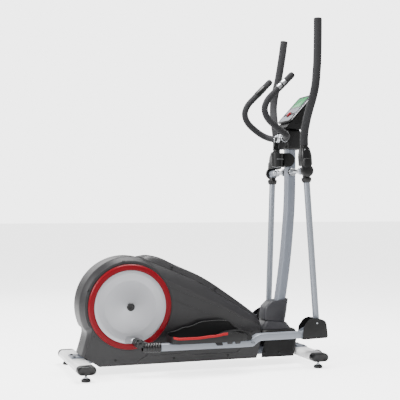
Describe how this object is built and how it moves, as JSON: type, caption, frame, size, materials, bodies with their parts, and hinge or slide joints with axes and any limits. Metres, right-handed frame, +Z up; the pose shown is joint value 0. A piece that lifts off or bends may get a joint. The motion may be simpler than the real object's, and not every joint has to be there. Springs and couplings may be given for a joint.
{
  "type": "elliptical trainer",
  "caption": "Rear-drive elliptical trainer with crank discs, coupled swing handles and pedal arms, a bent mast, fixed pulse bars and a small sloped console.",
  "frame": {"origin": "bottom centre of the machine's box, on the floor", "axes": "+X forward towards the mast, +Y to the user's left, +Z up"},
  "size_m": [1.271, 0.6438, 1.6786],
  "materials": {
    "casing_plastic": "fine moulded grain",
    "dark_plastic": "fine moulded grain",
    "black_plastic": "satin moulded",
    "pale_paint": "powder coat, satin",
    "grey_paint": "metallic powder coat, satin",
    "black_paint": "powder coat",
    "foam": "closed-cell foam, matt",
    "rubber": "moulded rubber",
    "steel": "brushed",
    "cast_iron": "rough cast, turned faces",
    "silver_plastic": "silver lacquer, satin",
    "red_plastic": "glossy"
  },
  "bodies": {
    "root": {"main_frame": "grey_paint", "rear_stabiliser": "pale_paint", "front_stabiliser": "pale_paint", "rear_end_cap_right": "black_plastic", "rear_end_cap_left": "black_plastic", "front_end_cap_right": "black_plastic", "front_end_cap_left": "black_plastic", "casing_right": "casing_plastic", "casing_left": "casing_plastic", "casing_spine": "casing_plastic", "front_base_cover": "dark_plastic", "mast_boot_lower": "casing_plastic", "mast_boot_upper": "casing_plastic", "mast": "grey_paint", "pivot_axle": "steel", "head_cover": "black_plastic", "cup_holder": "black_plastic", "fixed_handlebar": "foam", "handlebar_clamp": "steel", "pulse_sensor_right": "steel", "pulse_sensor_left": "steel", "console_housing": "black_plastic", "console_panel": "silver_plastic", "flywheel_axle": "steel", "drive_belt": "rubber"},
    "crank": {"crank_axle": "steel", "drive_pulley": "black_plastic", "crank_disc_right": "silver_plastic", "crank_disc_left": "silver_plastic", "crank_ring_right": "red_plastic", "crank_ring_left": "red_plastic", "hub_cap_right": "black_plastic", "hub_cap_left": "black_plastic"},
    "flywheel": {"flywheel": "cast_iron"},
    "brake": {"brake_magnet": "cast_iron"},
    "select_button": {"select_button": "red_plastic"},
    "swing_right": {"swing_arm_right": "grey_paint", "swing_collar_right": "black_plastic", "pivot_sleeve_right": "black_plastic", "handle_tube_right": "black_paint", "foam_grip_right": "foam"},
    "pedal_arm_right": {"pedal_arm_right": "grey_paint", "bearing_cover_right": "rubber", "pedal_right": "black_plastic", "joint_cover_right": "black_plastic"},
    "wheel_right": {"transport_wheel_right": "rubber"},
    "rear_foot_right": {"rear_foot_right": "rubber"},
    "front_foot_right": {"front_foot_right": "rubber"},
    "swing_left": {"swing_arm_left": "grey_paint", "swing_collar_left": "black_plastic", "pivot_sleeve_left": "black_plastic", "handle_tube_left": "black_paint", "foam_grip_left": "foam"},
    "pedal_arm_left": {"pedal_arm_left": "grey_paint", "bearing_cover_left": "rubber", "pedal_left": "black_plastic", "joint_cover_left": "black_plastic"},
    "wheel_left": {"transport_wheel_left": "rubber"},
    "rear_foot_left": {"rear_foot_left": "rubber"},
    "front_foot_left": {"front_foot_left": "rubber"}
  },
  "joints": [
    {"name": "crank_spin", "type": "hinge", "parent": "root", "child": "crank", "pos_m": [-0.3575, 0, 0.311], "axis": [0, 1, 0], "continuous": true},
    {"name": "flywheel_spin", "type": "hinge", "parent": "root", "child": "flywheel", "pos_m": [0.0075, 0, 0.215], "axis": [0, 1, 0], "continuous": true},
    {"name": "brake_lift", "type": "hinge", "parent": "root", "child": "brake", "pos_m": [0.0645, 0, 0.3318], "axis": [0, -1, 0], "range_deg": [0, 8]},
    {"name": "right_swing", "type": "hinge", "parent": "root", "child": "swing_right", "pos_m": [0.4905, -0.206, 0.952], "axis": [0, -1, 0], "range_deg": [-14, 10.4]},
    {"name": "left_swing", "type": "hinge", "parent": "root", "child": "swing_left", "pos_m": [0.4905, 0.206, 0.952], "axis": [0, -1, 0], "range_deg": [-10.4, 14]},
    {"name": "right_pedal_arm", "type": "hinge", "parent": "swing_right", "child": "pedal_arm_right", "pos_m": [0.5481, -0.206, 0.1862], "axis": [0, -1, 0], "range_deg": [-10.4, 14]},
    {"name": "left_pedal_arm", "type": "hinge", "parent": "swing_left", "child": "pedal_arm_left", "pos_m": [0.4654, 0.206, 0.1844], "axis": [0, -1, 0], "range_deg": [-14, 10.4]},
    {"name": "right_wheel_spin", "type": "hinge", "parent": "root", "child": "wheel_right", "pos_m": [0.6105, -0.085, 0.037], "axis": [0, 1, 0], "continuous": true},
    {"name": "left_wheel_spin", "type": "hinge", "parent": "root", "child": "wheel_left", "pos_m": [0.6105, 0.085, 0.037], "axis": [0, 1, 0], "continuous": true},
    {"name": "rear_right_foot_turn", "type": "hinge", "parent": "root", "child": "rear_foot_right", "pos_m": [-0.5925, -0.2376, 0], "axis": [0, 0, 1], "continuous": true},
    {"name": "rear_left_foot_turn", "type": "hinge", "parent": "root", "child": "rear_foot_left", "pos_m": [-0.5925, 0.2376, 0], "axis": [0, 0, 1], "continuous": true},
    {"name": "front_right_foot_turn", "type": "hinge", "parent": "root", "child": "front_foot_right", "pos_m": [0.5405, -0.2376, 0], "axis": [0, 0, 1], "continuous": true},
    {"name": "front_left_foot_turn", "type": "hinge", "parent": "root", "child": "front_foot_left", "pos_m": [0.5405, 0.2376, 0], "axis": [0, 0, 1], "continuous": true},
    {"name": "select_press", "type": "slide", "parent": "root", "child": "select_button", "axis": [0.7363, 0, -0.6767], "range_m": [0, 0.0015], "stiffness_N_per_m": 600}
  ],
  "couplings": [
    {"joint": "flywheel_spin", "follows": "crank_spin", "ratio": 6.5},
    {"joint": "left_swing", "follows": "right_swing", "ratio": -1},
    {"joint": "right_pedal_arm", "follows": "right_swing", "ratio": -1},
    {"joint": "left_pedal_arm", "follows": "right_swing", "ratio": 1}
  ]
}
